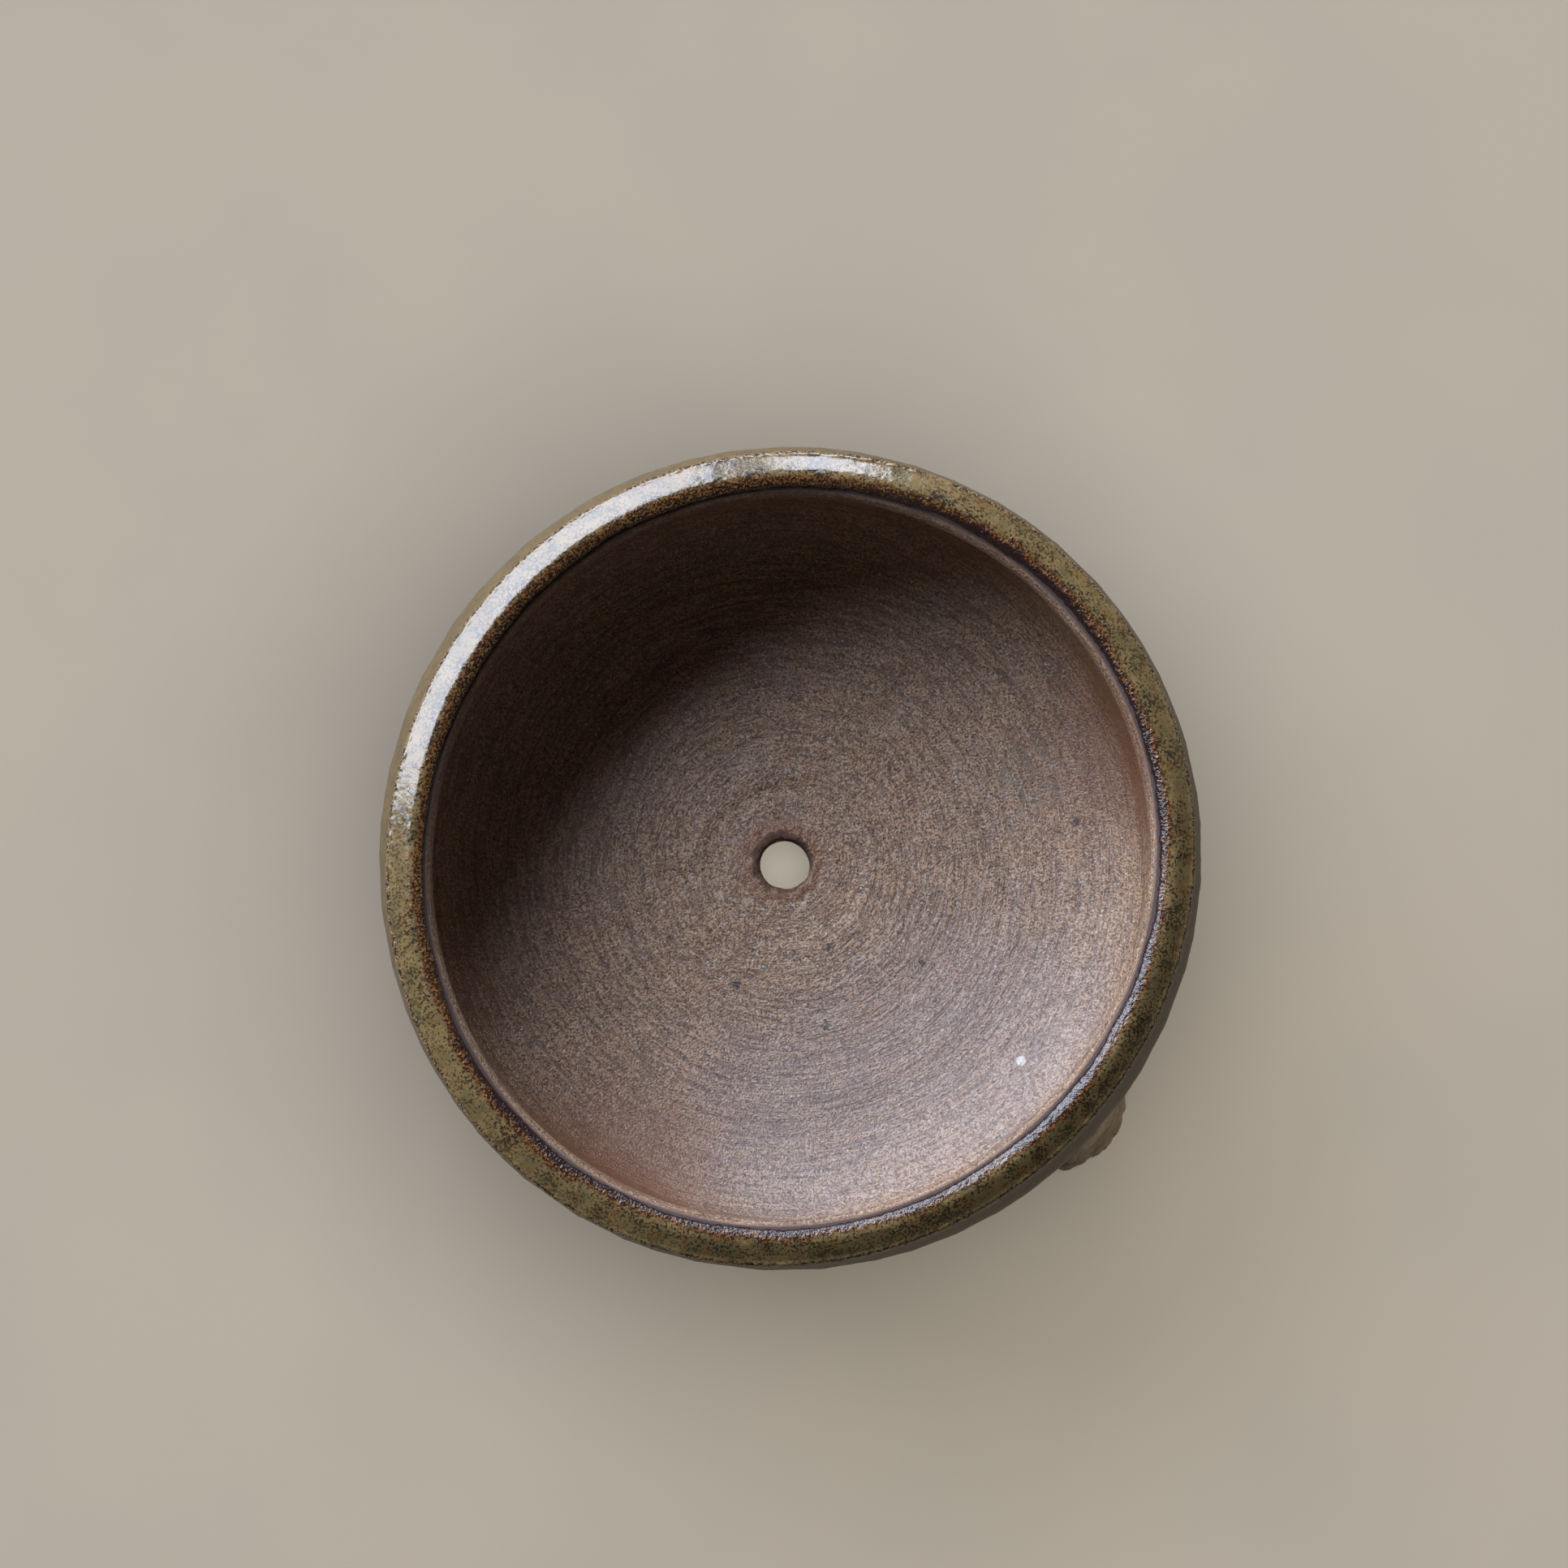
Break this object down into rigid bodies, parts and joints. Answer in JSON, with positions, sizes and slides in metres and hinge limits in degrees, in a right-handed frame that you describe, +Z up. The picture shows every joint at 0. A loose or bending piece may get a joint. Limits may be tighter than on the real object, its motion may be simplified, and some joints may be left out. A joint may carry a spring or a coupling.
{
  "type": "bonsai pot",
  "caption": "Round wheel-thrown stoneware bonsai pot with a rolled-in glazed lip, bare clay inside, a central drain hole and low flared feet.",
  "frame": {"origin": "on the pot's axis, at the level of the surface that the feet stand on", "axes": "+Z up along the pot's axis, out of its mouth; +X to the right and -Y to the front, with the foot_back_left foot at 140 degrees from +X"},
  "size_m": [0.165, 0.1664, 0.068],
  "materials": {
    "bare_clay": "unglazed sandy brown stoneware with fine grog, rough and matte, rust-coloured flashes",
    "glaze": "satin olive ash glaze, mottled ochre and brown with dark specks, rust where it thins at its edges",
    "foot": "thin satin olive-brown glaze over stoneware, rough and bare at the edge of the sole"
  },
  "bodies": {
    "root": {"bowl": "bare_clay", "glaze_coat": "glaze", "foot_back_left": "foot", "foot_front": "foot", "foot_right": "foot"}
  },
  "joints": []
}
